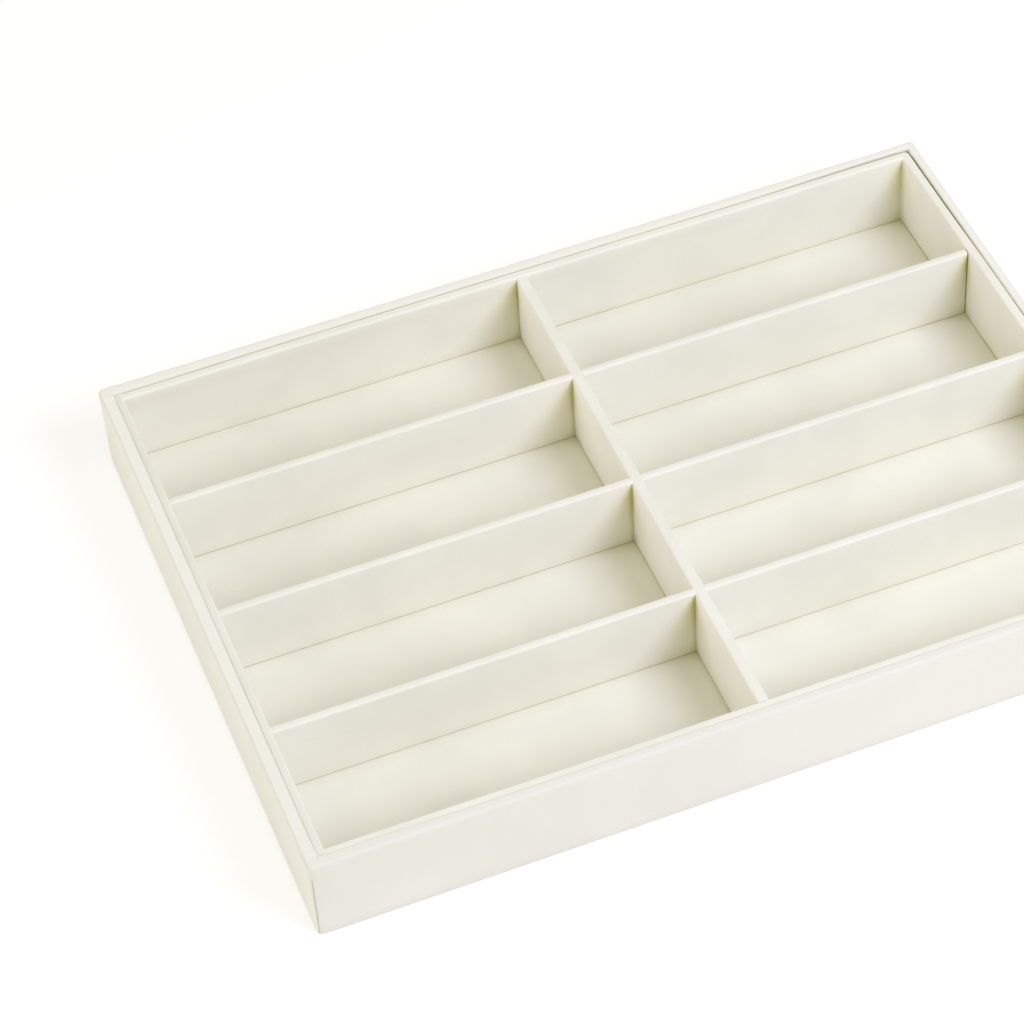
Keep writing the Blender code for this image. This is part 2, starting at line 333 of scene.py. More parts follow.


# %% [markdown]
# Leatherette is a thin film with a pebbled grain pressed into it.  The grain is a cell
# pattern bent by a little noise, shallow enough to show only close up.  The flat top of the
# rim has painted light, so it is paler than the walls, and least so in front, where the
# edge's bend has painted shade instead.  All the rim's bends have a little painted shade,
# the colour gets darker towards the foot, and the seams have painted shade.

# %% Leatherette
LEATHERETTE_COLOUR = (0.842, 0.836, 0.743)
LEATHERETTE_ROUGHNESS = 0.58
LEATHERETTE_CLOUD = 55 * MM
LEATHERETTE_SHADES = (0.975, 1.012)
# Painted light: the flat top of the rim is made paler, less so in front.
TOP_PAINTED_LIGHT_COLOUR = (0.933, 0.928, 0.886)
TOP_PAINTED_LIGHT_IN_FRONT = 0.65
FLAT_TOP = (0.80, 0.97)
# Painted shade: the rim's front bend, and a little less all its bends, are darkened.
FRONT_BEND_PAINTED_SHADE = (0.955, 0.955, 0.96)
RIM_BAND = 1.6 * MM
RIM_BEND_PAINTED_SHADE = 0.975
FOOT_BAND = 5.0 * MM
FOOT_SHADE = 0.93
# Painted shade in the seams and other narrow places.
SEAM_PAINTED_SHADE_COLOUR = (0.75, 0.73, 0.56)
SEAM_REACH = 2.5 * MM
SEAM_OPEN = (0.12, 0.55)
PEBBLE = 0.75 * MM
PEBBLE_EDGE = (0.15, 0.75)
PEBBLE_DEPTH = 0.035 * MM
WRINKLE = 9 * MM
WRINKLE_DEPTH = 0.06 * MM
WORN_PATCH = 14 * MM
WORN_ROUGHNESS = (0.53, 0.63)


def make_leatherette():
    """Cream leatherette with a fine pebbled grain."""
    material, tree, shader, place = start_finish(
        "cream_leatherette", LEATHERETTE_COLOUR, LEATHERETTE_ROUGHNESS, Sheen_Weight=0.06,
        Sheen_Roughness=0.5, Specular_IOR_Level=0.30)
    cloudy = drift_colour(tree, noise_layer(tree, place, LEATHERETTE_CLOUD),
                          LEATHERETTE_COLOUR, LEATHERETTE_SHADES)
    height = part_along(tree, place, "Z")
    # The colour gets darker towards the foot.
    foot = spread(tree, height, SHELL_FOOT, SHELL_FOOT + FOOT_BAND, 0.5, 0.0)
    darker_at_foot = blend(tree, foot, cloudy, shade(LEATHERETTE_COLOUR, FOOT_SHADE))
    # Painted shade: the rim's bends are darkened a little.
    bend = spread(tree, height, SHELL_TOP - RIM_BAND, SHELL_TOP - RIM_BAND / 3)
    with_painted_shade = blend(tree, bend, darker_at_foot, shade(LEATHERETTE_COLOUR, RIM_BEND_PAINTED_SHADE))
    # Painted light: the flat top of the rim is made paler, less so in front.
    flat_top = spread(tree, part_along(tree, facing(tree), "Z"), *FLAT_TOP)
    from_front = part_along(tree, place, "Y")
    toward_back = spread(tree, from_front, -SHELL_HALF[1], SHELL_HALF[1], TOP_PAINTED_LIGHT_IN_FRONT, 1.0)
    top_painted_lighter = blend(tree, both(tree, flat_top, toward_back), with_painted_shade, TOP_PAINTED_LIGHT_COLOUR)
    # Painted shade: the front bend of the rim is darkened further.
    at_front = spread(tree, from_front, WALL - SHELL_HALF[1], 2 * WALL - SHELL_HALF[1], 1.0, 0.0)
    front_bend_painted_darker = tint(tree, both(tree, at_front, bend), top_painted_lighter, FRONT_BEND_PAINTED_SHADE)
    # Painted shade where near faces close a point in, as in the seams.
    seam = closed_in(tree, open_around(tree, SEAM_REACH), *SEAM_OPEN)
    tree.links.new(blend(tree, seam, front_bend_painted_darker, SEAM_PAINTED_SHADE_COLOUR), shader.inputs["Base Color"])

    warp = add_node(tree, "ShaderNodeTexNoise", (-1200, -300), in0=place, in2=0.5 / PEBBLE)
    bent = add_node(tree, "ShaderNodeVectorMath", (-1000, -300), operation="MULTIPLY_ADD",
                    in0=warp.outputs["Color"], in1=[PEBBLE] * 3, in2=place)
    cells = add_node(tree, "ShaderNodeTexVoronoi", (-800, -300), feature="SMOOTH_F1",
                     in0=bent.outputs[0], in2=1 / PEBBLE)
    pebbles = spread(tree, cells.outputs["Distance"], *PEBBLE_EDGE, 1.0, 0.0)
    grain = add_bump(tree, shader, pebbles, PEBBLE_DEPTH, 0.55)
    wrinkles = noise_layer(tree, place, WRINKLE, 4.0)
    add_bump(tree, shader, wrinkles, WRINKLE_DEPTH, 0.5, grain)
    patches = noise_layer(tree, place, WORN_PATCH, offset=0.3)
    tree.links.new(spread(tree, patches, *CLOUD_RANGE, *WORN_ROUGHNESS), shader.inputs["Roughness"])
    return material


leatherette = make_leatherette()
print("leatherette with pebbles of", PEBBLE / MM, "mm")

# %% [markdown]
# The lining is a short-napped suede cloth.  Nap brushed one way looks lighter than nap
# brushed the other way, in soft patches a few centimetres wide.  The fibres are far too fine
# to model, so they are noise drawn out into short strokes, with sheen for the light that
# catches their tips.  Painted shade grows down into the bays, so the tops stay paler.  Light
# that bounces between two soft faces picks up their colour, most of all at the bays' right
# ends, so one search for near faces leans right and up, and this painted bounce light and
# shade counts for less near the floor.  A second search goes straight out: it paints a little
# shade into every corner and more into the creases.  The tight creases at the right ends get
# a painted olive shadow, most of all in their upper part.

# %% Suede lining
SUEDE_COLOUR = (0.907, 0.898, 0.828)
# Painted shade that grows down into the bays.
DEEP_PAINTED_SHADE = (0.968, 0.962, 0.930)
PATCH = 34 * MM
PATCH_RANGE = (0.36, 0.66)
PATCH_SHADES = (0.972, 1.014)
FLECK = 1.1 * MM
FLECK_RANGE = (0.52, 0.78)
FLECK_MOST = 0.55
FLECK_SHADE = 0.955
FIBRE = 0.22 * MM
FIBRE_DEPTH = 0.05 * MM
RUMPLE = 2.6 * MM
RUMPLE_DEPTH = 0.05 * MM
BOUNCE_COLOUR = (0.735, 0.69, 0.385)
BOUNCE_REACH = 26 * MM
BOUNCE_LEAN = (0.9, 0, 0.55)
BOUNCE_OPEN = (0.10, 0.55)
BOUNCE_START = 8 * MM
BOUNCE_MOST = 0.9
# Painted shade in every corner.
CORNER_REACH = 8 * MM
CORNER_OPEN = (0.55, 0.95)
CORNER_PAINTED_SHADE = (0.985, 0.980, 0.945)
# Painted shade in the creases.
CREASE_OPEN = (0.19, 0.54)
CREASE_PAINTED_SHADE_COLOUR = (0.76, 0.745, 0.63)
# Painted shadow, deep olive, in the tight creases at the right ends.
TIGHT_CREASE_SHADOW_COLOUR = (0.57, 0.54, 0.17)
TIGHT_CREASE_SHADOW_OPEN = (0.40, 0.66)
TIGHT_CREASE_SHADOW_RIGHT_OPEN = (0.22, 0.50)
TIGHT_CREASE_SHADOW_HEIGHTS = (8 * MM, 34 * MM)
TIGHT_CREASE_SHADOW_LEAST = 0.3


def make_suede():
    """Cream suede cloth with brushed patches and fine fibres."""
    material, tree, shader, place = start_finish(
        "cream_suede", SUEDE_COLOUR, 0.92, Sheen_Weight=0.10, Sheen_Roughness=0.35,
        Specular_IOR_Level=0.18)
    brushed = drift_colour(tree, noise_layer(tree, place, PATCH, 2.5), SUEDE_COLOUR,
                           PATCH_SHADES, PATCH_RANGE)
    flecks = noise_layer(tree, place, FLECK, stretch=(1.0, 0.45, 1.0))
    flecked = blend(tree, spread(tree, flecks, *FLECK_RANGE, 0.0, FLECK_MOST), brushed,
                    shade(SUEDE_COLOUR, FLECK_SHADE))
    height = part_along(tree, place, "Z")
    # Painted shade that grows down into the bays.
    depth = spread(tree, height, FLOOR_TOP, centre_high[2], 1.0, 0.0)
    painted_darker_deep = tint(tree, depth, flecked, DEEP_PAINTED_SHADE)
    toward_right = open_around(tree, BOUNCE_REACH, BOUNCE_LEAN)
    raised = spread(tree, height, BOUNCE_START, centre_high[2], 0.0, BOUNCE_MOST)
    near_right = closed_in(tree, toward_right, *BOUNCE_OPEN)
    bounced = blend(tree, both(tree, near_right, raised), painted_darker_deep, BOUNCE_COLOUR)
    # Painted shade in every corner.
    straight_out = open_around(tree, CORNER_REACH)
    corner = closed_in(tree, straight_out, *CORNER_OPEN)
    corners_painted_darker = tint(tree, corner, bounced, CORNER_PAINTED_SHADE)
    # Painted shade in the creases.
    crease = closed_in(tree, straight_out, *CREASE_OPEN)
    creases_painted_darker = blend(tree, crease, corners_painted_darker, CREASE_PAINTED_SHADE_COLOUR)
    # Painted shadow in the tight creases at the right ends, most in their upper part.
    tight = both(tree, closed_in(tree, straight_out, *TIGHT_CREASE_SHADOW_OPEN),
                 closed_in(tree, toward_right, *TIGHT_CREASE_SHADOW_RIGHT_OPEN))
    upper = spread(tree, height, *TIGHT_CREASE_SHADOW_HEIGHTS, TIGHT_CREASE_SHADOW_LEAST, 1.0)
    with_painted_shade = blend(tree, both(tree, tight, upper), creases_painted_darker, TIGHT_CREASE_SHADOW_COLOUR)
    tree.links.new(with_painted_shade, shader.inputs["Base Color"])
    strokes = noise_layer(tree, place, FIBRE, 2.0, stretch=(1.0, 0.35, 1.0))
    nap = add_bump(tree, shader, strokes, FIBRE_DEPTH, 0.6)
    add_bump(tree, shader, noise_layer(tree, place, RUMPLE), RUMPLE_DEPTH, 0.45, nap)
    return material


suede = make_suede()
print("suede with fibres of", FIBRE / MM, "mm")

# %% [markdown]
# A sheet that is glued over a board has the same cross section all along it: it comes up
# one face, bends over the top and goes down the other.  So each strip is drawn once as a
# folded line, given its thickness, and carried along its side of the tray.  The line's
# points hold the way inward too, which later steps use to move a point in or out.

# %% Fold a line
BEND_STEPS = 8


def fold_line(corners, flat_step):
    """Points and inward directions along a line folded at square corners.

    Each corner is (depth in from the outer face, height, bend radius), and the board lies
    on the right of the line.
    """
    spots, ways = [], []
    start = Vector(corners[0][:2])
    for place in range(1, len(corners)):
        corner, radius = Vector(corners[place][:2]), corners[place][2]
        forward = (corner - Vector(corners[place - 1][:2])).normalized()
        right = Vector((forward.y, -forward.x))
        end = corner - forward * radius
        pieces = max(1, round((end - start).length / flat_step))
        first = 0 if place == 1 else 1
        for step in range(first, pieces + 1):
            spots.append(start.lerp(end, step / pieces))
            ways.append(right)
        if radius > 0:
            centre = end + right * radius
            for step in range(1, BEND_STEPS + 1):
                turn = math.pi / 2 * step / BEND_STEPS
                way = right * math.cos(turn) - forward * math.sin(turn)
                spots.append(centre - way * radius)
                ways.append(way)
            start = spots[-1]
    return np.array(spots), np.array(ways)


# %% [markdown]
# At a corner of the tray two strips meet on the mitre.  Each line of a strip runs straight
# along its side and then turns a little towards the mitre, on an arc that gets tighter for
# the lines that lie deeper.  This is how a sheet bends round a softened board corner.

# %% Turn a corner
TURN_STEPS = 8
STRAIGHT_STEPS = 7
CORNER_ZONE = 18 * MM
TIGHTEST_TURN = 0.4 * MM
AWAY = np.linspace(0, 1, STRAIGHT_STEPS + 1)[1:, None] ** 1.6


def run_straight(start):
    """Places from the end of a turn to the corner zone's end, closest near the turn."""
    return start + (CORNER_ZONE - start) * AWAY


def corner_turn(depth, radius, gap):
    """How far along and how far in each line is, from the mitre to the end of the turn.

    The rows are steps away from the mitre and the columns are the lines.
    """
    bend = np.maximum(radius - depth, TIGHTEST_TURN)
    centre = depth + bend
    turns = np.linspace(math.pi / 4, 0, TURN_STEPS + 1)[:, None]
    along = centre - bend * np.sin(turns) + gap * turns / (math.pi / 4)
    inward = centre - bend * np.cos(turns)
    level = np.repeat(depth[None, :], STRAIGHT_STEPS, axis=0)
    return np.vstack([along, run_straight(centre)]), np.vstack([inward, level])


# %% [markdown]
# A finished sheet is a closed solid: a face, a back a little way behind it, and an edge all
# round that joins them.  One helper makes that from two grids of points.  Smooth shading
# with sharp edges kept at steep angles gives soft folds and crisp cut edges.  Another adds
# the slow waves of a sheet that was laid by hand.

# %% Make a closed sheet
SHARP_ANGLE = math.radians(40)
NOISE_STEPS = (7.3, 3.1, 5.7)
LAYER_STEP = 9


def finish_mesh(obj):
    """Smooth shading, apart from edges that are really sharp."""
    obj.data.shade_smooth()
    obj.data.set_sharp_from_angle(angle=SHARP_ANGLE)
    return obj


def closed_sheet(name, face, back, finish):
    """A closed sheet between a face and a back, both grids of points of the same size."""
    rows, columns = face.shape[:2]
    spots = np.concatenate([face.reshape(-1, 3), back.reshape(-1, 3)])
    grid = np.arange(rows * columns).reshape(rows, columns)
    quads = np.stack([grid[:-1, :-1], grid[1:, :-1], grid[1:, 1:], grid[:-1, 1:]], axis=-1)
    quads = quads.reshape(-1, 4)
    edge = np.concatenate([grid[0, :-1], grid[:-1, -1], grid[-1, :0:-1], grid[:0:-1, 0]])
    after = np.roll(edge, -1)
    below = rows * columns
    rim = np.stack([edge, after, after + below, edge + below], axis=-1)
    faces = np.concatenate([quads, quads[:, ::-1] + below, rim])
    mesh = bpy.data.meshes.new(name)
    mesh.from_pydata(spots.tolist(), [], faces.tolist())
    shape = bmesh.new()
    shape.from_mesh(mesh)
    bmesh.ops.recalc_face_normals(shape, faces=shape.faces)
    shape.to_mesh(mesh)
    shape.free()
    mesh.materials.append(finish)
    return finish_mesh(put_in_scene(name, mesh))


def soft_waves(spots, layers, seed):
    """How far each point stands proud in layers of waves, each with its size and amount."""
    proud = 0
    for place, (size, amount) in enumerate(layers):
        shift = Vector([(seed + LAYER_STEP * place) * step for step in NOISE_STEPS])
        waves = [noise.noise(Vector(spot) / size + shift) for spot in spots.reshape(-1, 3)]
        proud = proud + amount * np.array(waves).reshape(spots.shape[:-1])
    return proud


# %% [markdown]
# Each side of the tray is worked on as if it were the front, in its own three measures: how
# far along it, how far inward from it and how high.  A strip may also swell on one face near
# its top, where the sheet is padded by its folded edge.

# %% Work along one side
SIDES = ("front", "right", "back", "left")
SWELL_DEPTH = 2.5 * MM
SWELL_FADE = 6 * MM


def smooth(share):
    """The share held between nothing and one, with soft ends."""
    share = np.clip(share, 0, 1)
    return share * share * (3 - 2 * share)


def run_of(side, half_sizes):
    """The length of a side."""
    return 2 * (half_sizes[0] if side in ("front", "back") else half_sizes[1])


def to_side(side, half_sizes, along, inward, height):
    """Points given along a side, inward from it and upward, put in the tray's frame."""
    half_run, half_across = half_sizes if side in ("front", "back") else half_sizes[::-1]
    flat = np.stack([along - half_run, inward - half_across, height], axis=-1)
    turn = np.array(Matrix.Rotation(math.radians(90) * SIDES.index(side), 3, "Z"))
    return flat @ turn.T


def swell_share(line, on_face):
    """How much each line on one face of a fold swells: all at the top, and none below."""
    height = line[0][:, 1]
    return on_face * (1 - smooth((height.max() - SWELL_DEPTH - height) / SWELL_FADE))


# %% [markdown]
# The strips of the shell turn in at the corners and leave an upright seam, which is dark
# because it is a real groove.  Near the rim and at the foot there is no groove: there the
# strips follow the softened corner, and near the rim a folded ear of leatherette will cover
# them.  The share between the two shapes changes with height.  Each swelling of a strip is
# given at its first end, in its middle and at its last end.

# %% Lay a strip along one side
SEAM_GAP = 0.08 * MM
SEAM_DEPTH = 0.85 * MM
ROLLED_EDGE = 1.1 * MM
LEAST_SHEET = 0.05 * MM
STATION = 6 * MM
SWELL_BLEND = 70 * MM


def strip_end(line, layer, depth, corner_radius, seam_share):
    """The rows of a strip in the corner zone, from the mitre to where it runs straight."""
    spots, ways = line
    height = spots[:, 1] + ways[:, 1] * layer
    along, inward = corner_turn(depth, corner_radius, SEAM_GAP if seam_share else 0.0)
    rise = np.repeat(height[None, :], len(along), axis=0)
    if seam_share is None:
        return along, inward, rise
    turns = np.linspace(math.pi / 2, 0, TURN_STEPS + 1)
    sink = SEAM_DEPTH * (1 - np.cos(turns))
    if layer > 0:
        sink = np.maximum(0, sink + LEAST_SHEET - layer)
    sink = np.concatenate([sink, np.zeros(STRAIGHT_STEPS)])[:, None]
    start = spots[:, 0] + SEAM_GAP + SEAM_DEPTH * np.maximum(ways[:, 0], 0)
    rolled = start + ROLLED_EDGE * (1 - np.sin(turns))[:, None]
    seam_along = np.vstack([rolled, run_straight(rolled[-1])])
    share = seam_share(height)
    return (along * (1 - share) + seam_along * share,
            inward * (1 - share) + (depth + ways[:, 0] * sink) * share,
            rise * (1 - share) + (height + ways[:, 1] * sink) * share)


def lay_layer(side, half_sizes, line, layer, corner_radii, waves, seam_share=None, swells=()):
    """One face of a strip as a grid: rows along the side and columns round the fold."""
    spots, ways = line
    depth = spots[:, 0] + ways[:, 0] * layer
    height = spots[:, 1] + ways[:, 1] * layer
    at_first, between, at_last = [
        sum((share * amounts[place] for share, amounts in swells), np.zeros(len(depth)))
        for place in range(3)]
    run = run_of(side, half_sizes)
    first = strip_end(line, layer, depth + at_first, corner_radii[0], seam_share)
    last = strip_end(line, layer, depth + at_last, corner_radii[1], seam_share)
    stations = max(2, round((run - 2 * CORNER_ZONE) / STATION))
    middle = np.linspace(CORNER_ZONE, run - CORNER_ZONE, stations + 1)[1:-1, None]
    from_first = smooth((middle - CORNER_ZONE) / SWELL_BLEND)
    from_last = smooth((run - CORNER_ZONE - middle) / SWELL_BLEND)
    swelled = between * from_first * from_last + at_first * (1 - from_first)
    swelled = swelled + at_last * (1 - from_last)
    along = np.vstack([first[0], middle * np.ones(len(depth)), run - last[0][::-1]])
    inward = np.vstack([first[1], depth + swelled, last[1][::-1]])
    rise = np.vstack([first[2], np.ones((len(middle), 1)) * height, last[2][::-1]])
    proud = waves(to_side(side, half_sizes, along, inward, rise)) if waves else 0.0
    return to_side(side, half_sizes, along, inward - ways[:, 0] * proud, rise - ways[:, 1] * proud)


# %% [markdown]
# The shell's strips start under the base, come up the outside, roll over the rim and turn
# down inside, as when a box maker covers a board.  On three sides the inside is padded and
# nearly closes the groove.  The padding thins out towards the right, where the groove stays
# open and looks dark.

# %% Cover the shell
LEATHERETTE_THICK = 0.4 * MM
TURN_UNDER = wrap_high[1] - wrap_low[1]
TURN_IN = 12 * MM
FOOT_BEND = 1.0 * MM
RIM_BEND = 1.35 * MM
RIM_BEND_INSIDE = 0.6 * MM
FRONT_PADDING = 1.0 * MM
BACK_PADDING = 1.12 * MM
LEFT_PADDING = 1.68 * MM
SHELL_PADDING = {"front": (LEFT_PADDING, FRONT_PADDING, 0), "right": (0, 0, 0),
                 "back": (0, BACK_PADDING, LEFT_PADDING), "left": (LEFT_PADDING,) * 3}
EAR_REACH = 6.5 * MM
EAR_COVERS = 0.8 * MM
SEAM_FADE = 1.5 * MM
SHELL_WAVES = ((48 * MM, 0.10 * MM), (13 * MM, 0.06 * MM))
WAVE_LEAST = 0.12 * MM
WAVE_START = 3 * MM
# Each corner is named by the side that starts there, going round from the front.
SHELL_CORNERS = {"front": 2.4 * MM, "right": 2.4 * MM, "back": 1.2 * MM, "left": 2.4 * MM}

shell_line = fold_line([
    (TURN_UNDER, SHELL_FOOT, 0),
    (0, SHELL_FOOT, FOOT_BEND),
    (0, SHELL_TOP, RIM_BEND),
    (WALL, SHELL_TOP, RIM_BEND_INSIDE),
    (WALL, SHELL_TOP - TURN_IN, 0),
], flat_step=5 * MM)


def open_seam(height):
    """One where the upright seam is open, and nothing under the folded ear or at the foot."""
    below_ear = smooth((SHELL_TOP - EAR_REACH + EAR_COVERS - height) / SEAM_FADE)
    return below_ear * smooth((height - SHELL_FOOT - FOOT_BEND) / (2 * SEAM_FADE))


def shell_waves(seed):
    """Hollows and swells where the sheet was smoothed down by hand, none under the foot."""
    def waves(spots):
        proud = WAVE_LEAST + soft_waves(spots, SHELL_WAVES, seed)
        return proud * smooth((spots[..., 2] - SHELL_FOOT) / WAVE_START)
    return waves


inside_share = swell_share(shell_line, shell_line[0][:, 0] > WALL / 2)
for number, side in enumerate(SIDES):
    corners = SHELL_CORNERS[side], SHELL_CORNERS[SIDES[(number + 1) % len(SIDES)]]
    face = lay_layer(side, SHELL_HALF, shell_line, 0, corners, shell_waves(number), open_seam,
                     [(inside_share, SHELL_PADDING[side])])
    back = lay_layer(side, SHELL_HALF, shell_line, LEATHERETTE_THICK, corners, None, open_seam)
    strip = closed_sheet(f"leatherette_{side}", face, back, leatherette)
    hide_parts(f"wrap_{side}")
    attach(strip, "shell")
    print(strip.name, len(strip.data.polygons), "faces")

# %% [markdown]
# At each corner the sheet's top is folded round and over before the sides are glued down,
# like the paper on a parcel.  What shows is a small smooth ear of leatherette that covers
# the mitre from just under the rim to the inside.  Its edges are pared thin, so they fade
# into the strips.  It is drawn with the same fold and the same corner turn.

# %% Fold the corner ears
EAR_LENGTH = 9.0 * MM
EAR_INSIDE = 7.0 * MM
EAR_THICK = 0.30 * MM
EAR_EDGE = 0.03 * MM
EAR_PARED = 1.6 * MM
EAR_HEM = 0.45 * MM
EAR_STEP = 0.7 * MM
EAR_ROUNDING = 0.35
TONGUES = (1, 0.9, 1.05, 0.95)


def ear_grid(line, radius, padding, lift_of):
    """Half of an ear, from the mitre outward, moved out of the strip by a lift."""
    spots, ways = line
    height = spots[:, 1]
    depth = spots[:, 0] + padding * swell_share(line, spots[:, 0] > WALL / 2)
    along, inward = corner_turn(depth, radius, 0.0)
    turns = np.concatenate([np.linspace(math.pi / 4, 0, TURN_STEPS + 1),
                            np.zeros(STRAIGHT_STEPS)])[:, None]
    base = along[TURN_STEPS]
    squeeze = np.linspace(0, 1, STRAIGHT_STEPS + 1)[1:, None]
    along = np.vstack([along[:TURN_STEPS + 1], base + (EAR_LENGTH - base) * squeeze])
    rise = np.repeat(height[None, :], len(along), axis=0)
    lift = lift_of(along)
    return (along - ways[:, 0] * np.sin(turns) * lift, inward - ways[:, 0] * np.cos(turns) * lift,
            rise - ways[:, 1] * lift)


def make_ear(side, tongue, padding):
    """The ear over the corner where a side starts; tongue is how far it hangs down."""
    line = fold_line([
        (0, SHELL_TOP - tongue, 0),
        (0, SHELL_TOP, RIM_BEND),
        (WALL, SHELL_TOP, RIM_BEND_INSIDE),
        (WALL, SHELL_TOP - EAR_INSIDE, 0),
    ], flat_step=EAR_STEP)
    steps = np.vstack([[0, 0], np.diff(line[0], axis=0)])
    walked = np.cumsum(np.hypot(*steps.T))

    def face_lift(along):
        """How far the ear stands out: pared at its sides, hemmed at its lower edge."""
        share = np.minimum(walked / EAR_HEM, (walked[-1] - walked) / EAR_PARED)
        share = np.clip(np.minimum(share[None, :], (EAR_LENGTH - along) / EAR_PARED), 0, 1)
        return EAR_EDGE + (EAR_THICK - EAR_EDGE) * np.sin(share * math.pi / 2)

    before = SIDES[SIDES.index(side) - 1]
    outside = line[0][:, 0] < HAIR
    rounding = EAR_ROUNDING * tongue * outside * (1 - (walked / tongue).clip(0, 1))
    layers = []
    for lift in (face_lift, lambda along: -EAR_EDGE):  # the back lies a hair inside the strips
        along, inward, rise = ear_grid(line, SHELL_CORNERS[side], padding, lift)
        rise = rise + rounding * (along / EAR_LENGTH).clip(0, 1) ** 1.5
        near = to_side(side, SHELL_HALF, along, inward, rise)
        far = to_side(before, SHELL_HALF, run_of(before, SHELL_HALF) - along, inward, rise)
        layers.append(np.concatenate([far[:0:-1], near]))
    return closed_sheet(f"corner_ear_{before}_{side}", layers[0], layers[1], leatherette)


for side, share in zip(SIDES, TONGUES):
    ear = make_ear(side, EAR_REACH * share, SHELL_PADDING[side][0])
    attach(ear, "shell")
    print(ear.name, len(ear.data.polygons), "faces")

# %% [markdown]
# The insert's walls are thinner boards, wrapped in suede that is folded over their tops.
# The suede is stretched tight, so its waves are smaller.  Its folded edge pads the tops
# towards the bays on three sides.  The left top leans in a little, and the right top leans
# out into the open groove.

# %% Line the insert's walls
SUEDE_THICK = 0.4 * MM
LINER_BEND = 1.1 * MM
LINER_BEND_OUTSIDE = 0.6 * MM
LINER_TURN_DOWN = 12 * MM
LINER_CORNERS = (1.5 * MM, 1.5 * MM)
LINER_WAVES = ((38 * MM, 0.08 * MM), (9 * MM, 0.04 * MM))
LEFT_SHIFT = 0.52 * MM
LEAN_ENDS = -0.5 * MM
LEAN_RIGHT = -1.0 * MM
LINER_LEAN = {"front": (LEFT_SHIFT, 0, LEAN_ENDS), "right": (LEAN_ENDS, LEAN_RIGHT, LEAN_ENDS),
              "back": (LEAN_ENDS, 0, LEFT_SHIFT), "left": (LEFT_SHIFT,) * 3}
LEFT_PAD = 1.0 * MM
MIDDLE_PAD = 0.7 * MM
LINER_PADDING = {"front": (LEFT_PAD, MIDDLE_PAD, 0), "right": (0, 0, 0),
                 "back": (0, MIDDLE_PAD, LEFT_PAD), "left": (LEFT_PAD,) * 3}

liner_line = fold_line([
    (0, LINER_TOP - LINER_TURN_DOWN, 0),
    (0, LINER_TOP, LINER_BEND_OUTSIDE),
    (LINER, LINER_TOP, LINER_BEND),
    (LINER, LINER_FOOT, 0),
], flat_step=4 * MM)


def liner_waves(seed):
    """The small unevenness of a cloth stretched over a board."""
    return lambda spots: soft_waves(spots, LINER_WAVES, seed)


toward_shell = swell_share(liner_line, liner_line[0][:, 0] < LINER / 2)
toward_bays = swell_share(liner_line, liner_line[0][:, 0] > LINER / 2)
for number, side in enumerate(SIDES):
    face = lay_layer(side, INSERT_HALF, liner_line, 0, LINER_CORNERS, liner_waves(20 + number),
                     None, [(toward_shell, LINER_LEAN[side]), (toward_bays, LINER_PADDING[side])])
    back = lay_layer(side, INSERT_HALF, liner_line, SUEDE_THICK, LINER_CORNERS, None)
    cover = closed_sheet(f"suede_wall_{side}", face, back, suede)
    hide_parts(f"liner_cover_{side}")
    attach(cover, "insert")
    print(cover.name, len(cover.data.polygons), "faces")

# %% [markdown]
# The floor is one cut of suede glued to a card.  Its cut edges are pushed up against the
# walls, and the soft valley that this leaves is what draws the edge of each bay's floor.

# %% Lay the suede floor
FLOOR_STEP = 5 * MM
EDGE_STEPS = np.array([0, 0.06, 0.2, 0.4, 0.7, 1.2]) * MM
EDGE_ROUND = 0.7 * MM
EDGE_DIP = 0.3 * MM
EDGE_PUSH = 0.25 * MM
FLOOR_WAVES = ((30 * MM, 0.06 * MM),)


def edge_spaced(half, step):
    """Places from one edge to the other, close together near both edges."""
    count = max(2, round(2 * (half - EDGE_STEPS[-1]) / step))
    middle = np.linspace(-half + EDGE_STEPS[-1], half - EDGE_STEPS[-1], count + 1)[1:-1]
    return np.concatenate([-half + EDGE_STEPS, middle, half - EDGE_STEPS[::-1]])


floor_half = (lining_high[:2] - lining_low[:2]) / 2 + EDGE_PUSH
floor_x, floor_y = np.meshgrid(*[edge_spaced(half, FLOOR_STEP) for half in floor_half],
                               indexing="ij")
from_edge = np.minimum(floor_half[0] - abs(floor_x), floor_half[1] - abs(floor_y))
dip = EDGE_DIP * (1 - np.sqrt(1 - (1 - from_edge / EDGE_ROUND).clip(0) ** 2))
floor_spots = np.stack([floor_x, floor_y, FLOOR_TOP - dip], axis=-1)
floor_spots[..., 2] += soft_waves(floor_spots, FLOOR_WAVES, 31)
floor_back = floor_spots.copy()
floor_back[..., 2] = lining_low[2]
suede_floor = closed_sheet("suede_floor", floor_spots, floor_back, suede)
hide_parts("floor_lining")
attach(suede_floor, "insert")
print(suede_floor.name, len(suede_floor.data.polygons), "faces")

# %% [markdown]
# A divider is a board in a tight suede sleeve.  Its top and its ends are round.  It is made
# as a long box whose edges are bevelled, cut across every few millimetres so that it has
# points to move, and then pushed in and out a little.  Where two dividers cross, the cloth
# bunches up and stands a little higher, and below that it is pinched in against the other.

# %% Make a soft bar
BAR_STATION = 3 * MM
BAR_LEVELS = 4
BUNCH_REACH = 5 * MM
PINCH_DEPTH = 0.38 * MM
PINCH_REACH = 0.9 * MM
PINCH_STEPS = np.array([-2, -1.2, -0.6, 0, 0.6, 1.2, 2]) * PINCH_REACH
PINCH_START = 2.5 * MM
BAR_WAVES = ((34 * MM, 0.07 * MM), (8 * MM, 0.04 * MM))
BAR_FOOT = 2 * MM


def box_between(low, high):
    """A plain box, to shape further or to cut with."""
    shape = bmesh.new()
    bmesh.ops.create_cube(shape, size=1)
    for vert in shape.verts:
        vert.co = Vector(low[k] if vert.co[k] < 0 else high[k] for k in range(3))
    return shape


